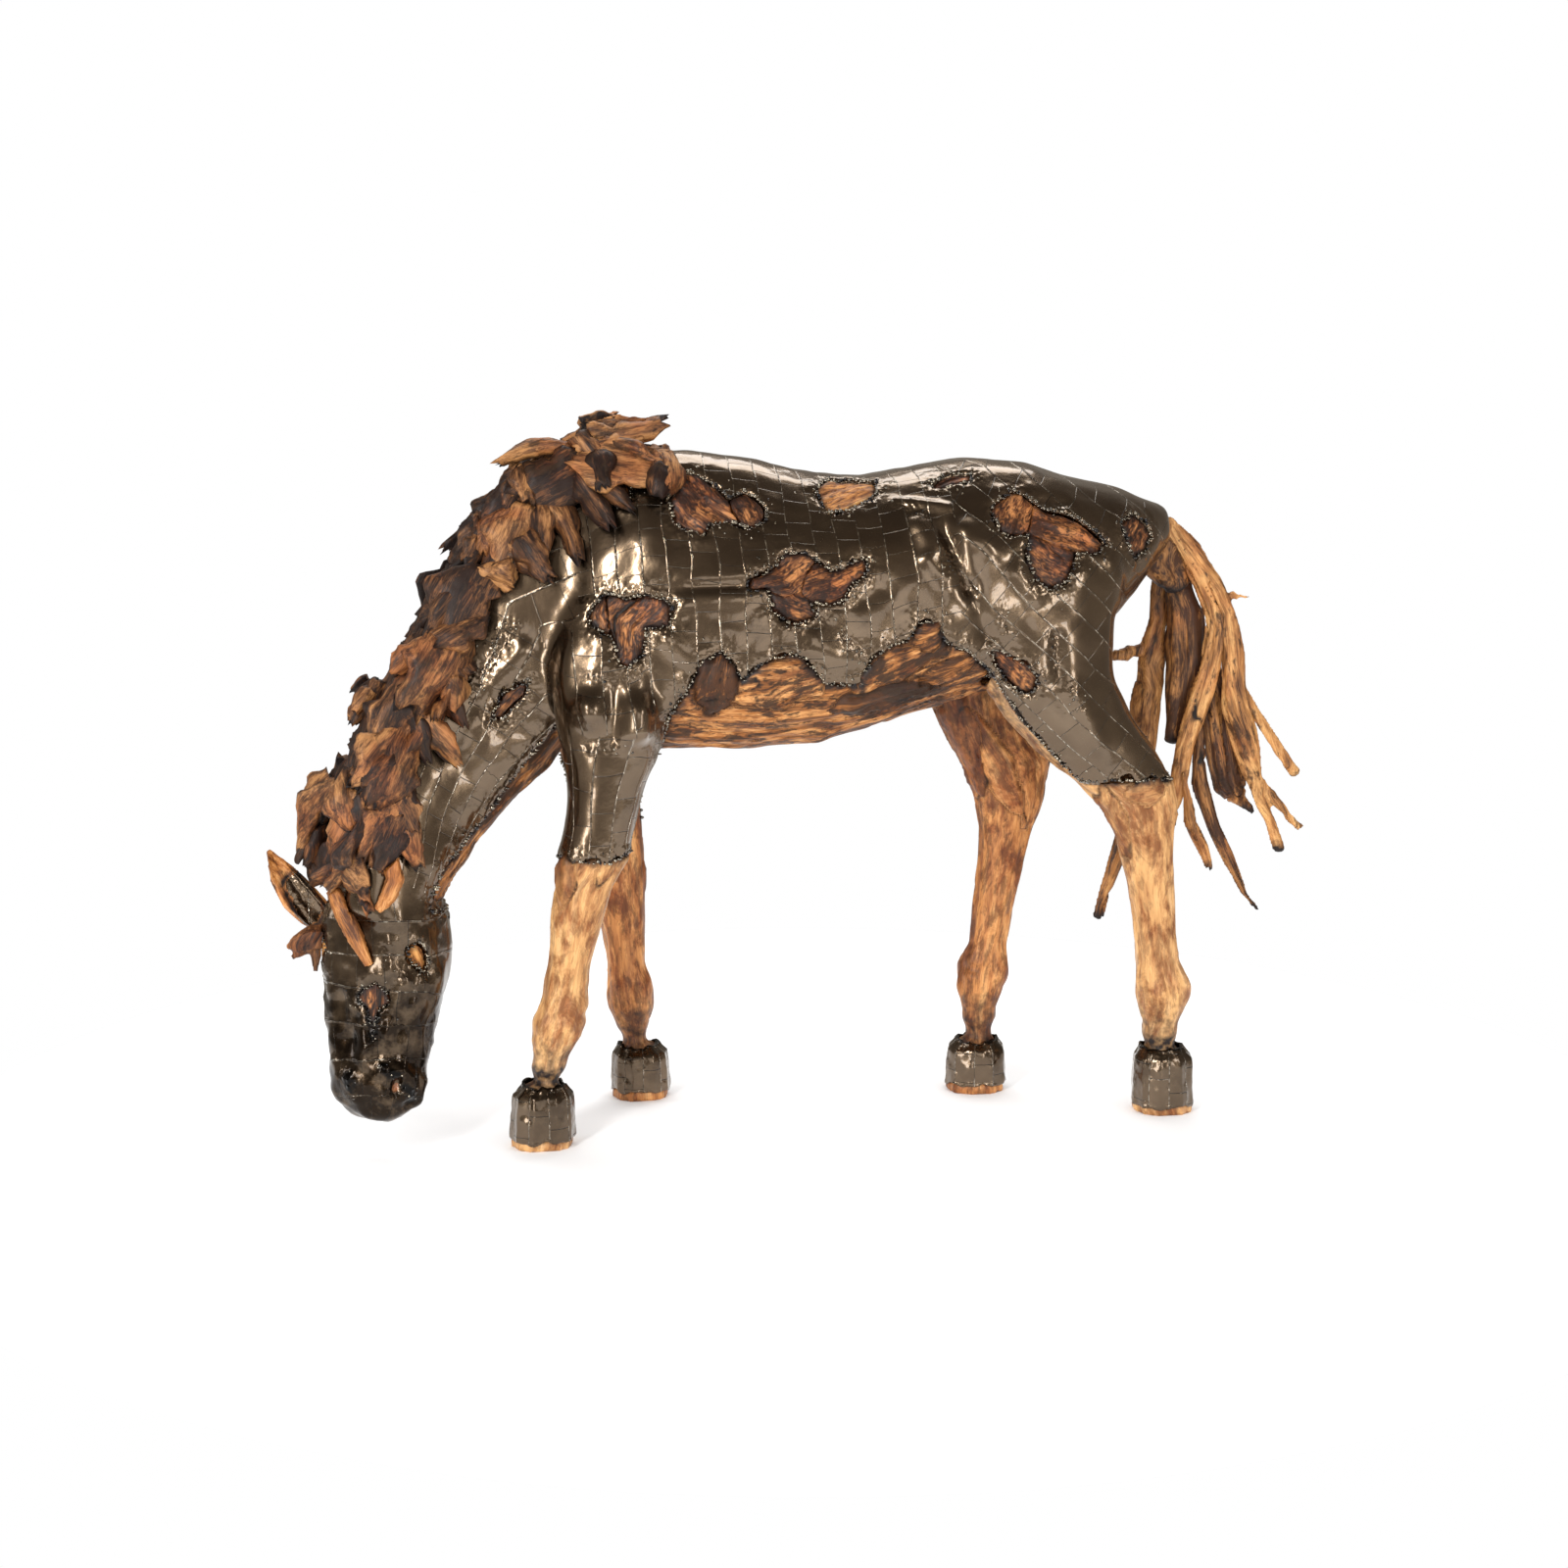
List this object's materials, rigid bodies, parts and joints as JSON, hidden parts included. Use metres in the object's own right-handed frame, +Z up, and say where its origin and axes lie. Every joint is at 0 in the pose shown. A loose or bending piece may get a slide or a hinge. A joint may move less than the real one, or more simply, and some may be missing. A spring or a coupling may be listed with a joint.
{
  "type": "grazing horse statue",
  "caption": "Life-size grazing horse statue: bare wooden legs, belly, mane and tail, with the body clad in welded dark steel plate that is open in patches over burl wood.",
  "frame": {"origin": "on the ground, under the middle of the bounding box", "axes": "-X the way the horse faces, -Y its left side, +Z up"},
  "size_m": [2.403, 0.5818, 1.6165],
  "materials": {
    "blackened_steel": "dark warm grey plate, welded in strips, ground and lacquered to a gloss",
    "honey_wood": "honey-coloured old wood, oiled, with dark cracks",
    "burl_wood": "orange-brown burl wood, oiled, scorched at its edges",
    "dark_wood": "dark red-brown split wood, dry and rough"
  },
  "bodies": {
    "root": {"armour": "blackened_steel", "back_block": "burl_wood", "belly_wood": "honey_wood", "cheek_splinter": "dark_wood", "crest_knob": "burl_wood", "croup_burl": "burl_wood", "face_blaze": "burl_wood", "far_ear": "dark_wood", "far_eye": "burl_wood", "far_flank_wood": "burl_wood", "far_fore_hoof_cup": "blackened_steel", "far_fore_leg_wood": "honey_wood", "far_hind_hoof_cup": "blackened_steel", "far_hind_leg_wood": "honey_wood", "far_neck_wood": "burl_wood", "far_rump_wood": "burl_wood", "far_shoulder_wood": "burl_wood", "flank_lower": "burl_wood", "flank_right": "burl_wood", "flank_upper": "burl_wood", "forelock": "dark_wood", "loin_strip": "burl_wood", "mane_middle": "dark_wood", "mane_poll": "dark_wood", "mane_withers": "dark_wood", "near_ear": "dark_wood", "near_eye": "burl_wood", "near_fore_hoof_cup": "blackened_steel", "near_fore_leg_wood": "honey_wood", "near_hind_hoof_cup": "blackened_steel", "near_hind_leg_wood": "honey_wood", "neck_slit": "burl_wood", "rump_left": "burl_wood", "rump_lower": "burl_wood", "rump_right": "burl_wood", "shoulder_sliver": "burl_wood", "shoulder_wedge": "burl_wood", "tail_dark": "honey_wood", "tail_dock": "honey_wood", "tail_loop": "honey_wood", "tail_main": "honey_wood", "tail_outer": "honey_wood", "tail_short": "honey_wood", "tail_slab": "honey_wood", "tail_sweep": "honey_wood", "thigh_front": "burl_wood", "throat_wood": "honey_wood", "withers_burl": "burl_wood", "withers_leaf": "burl_wood"}
  },
  "joints": []
}
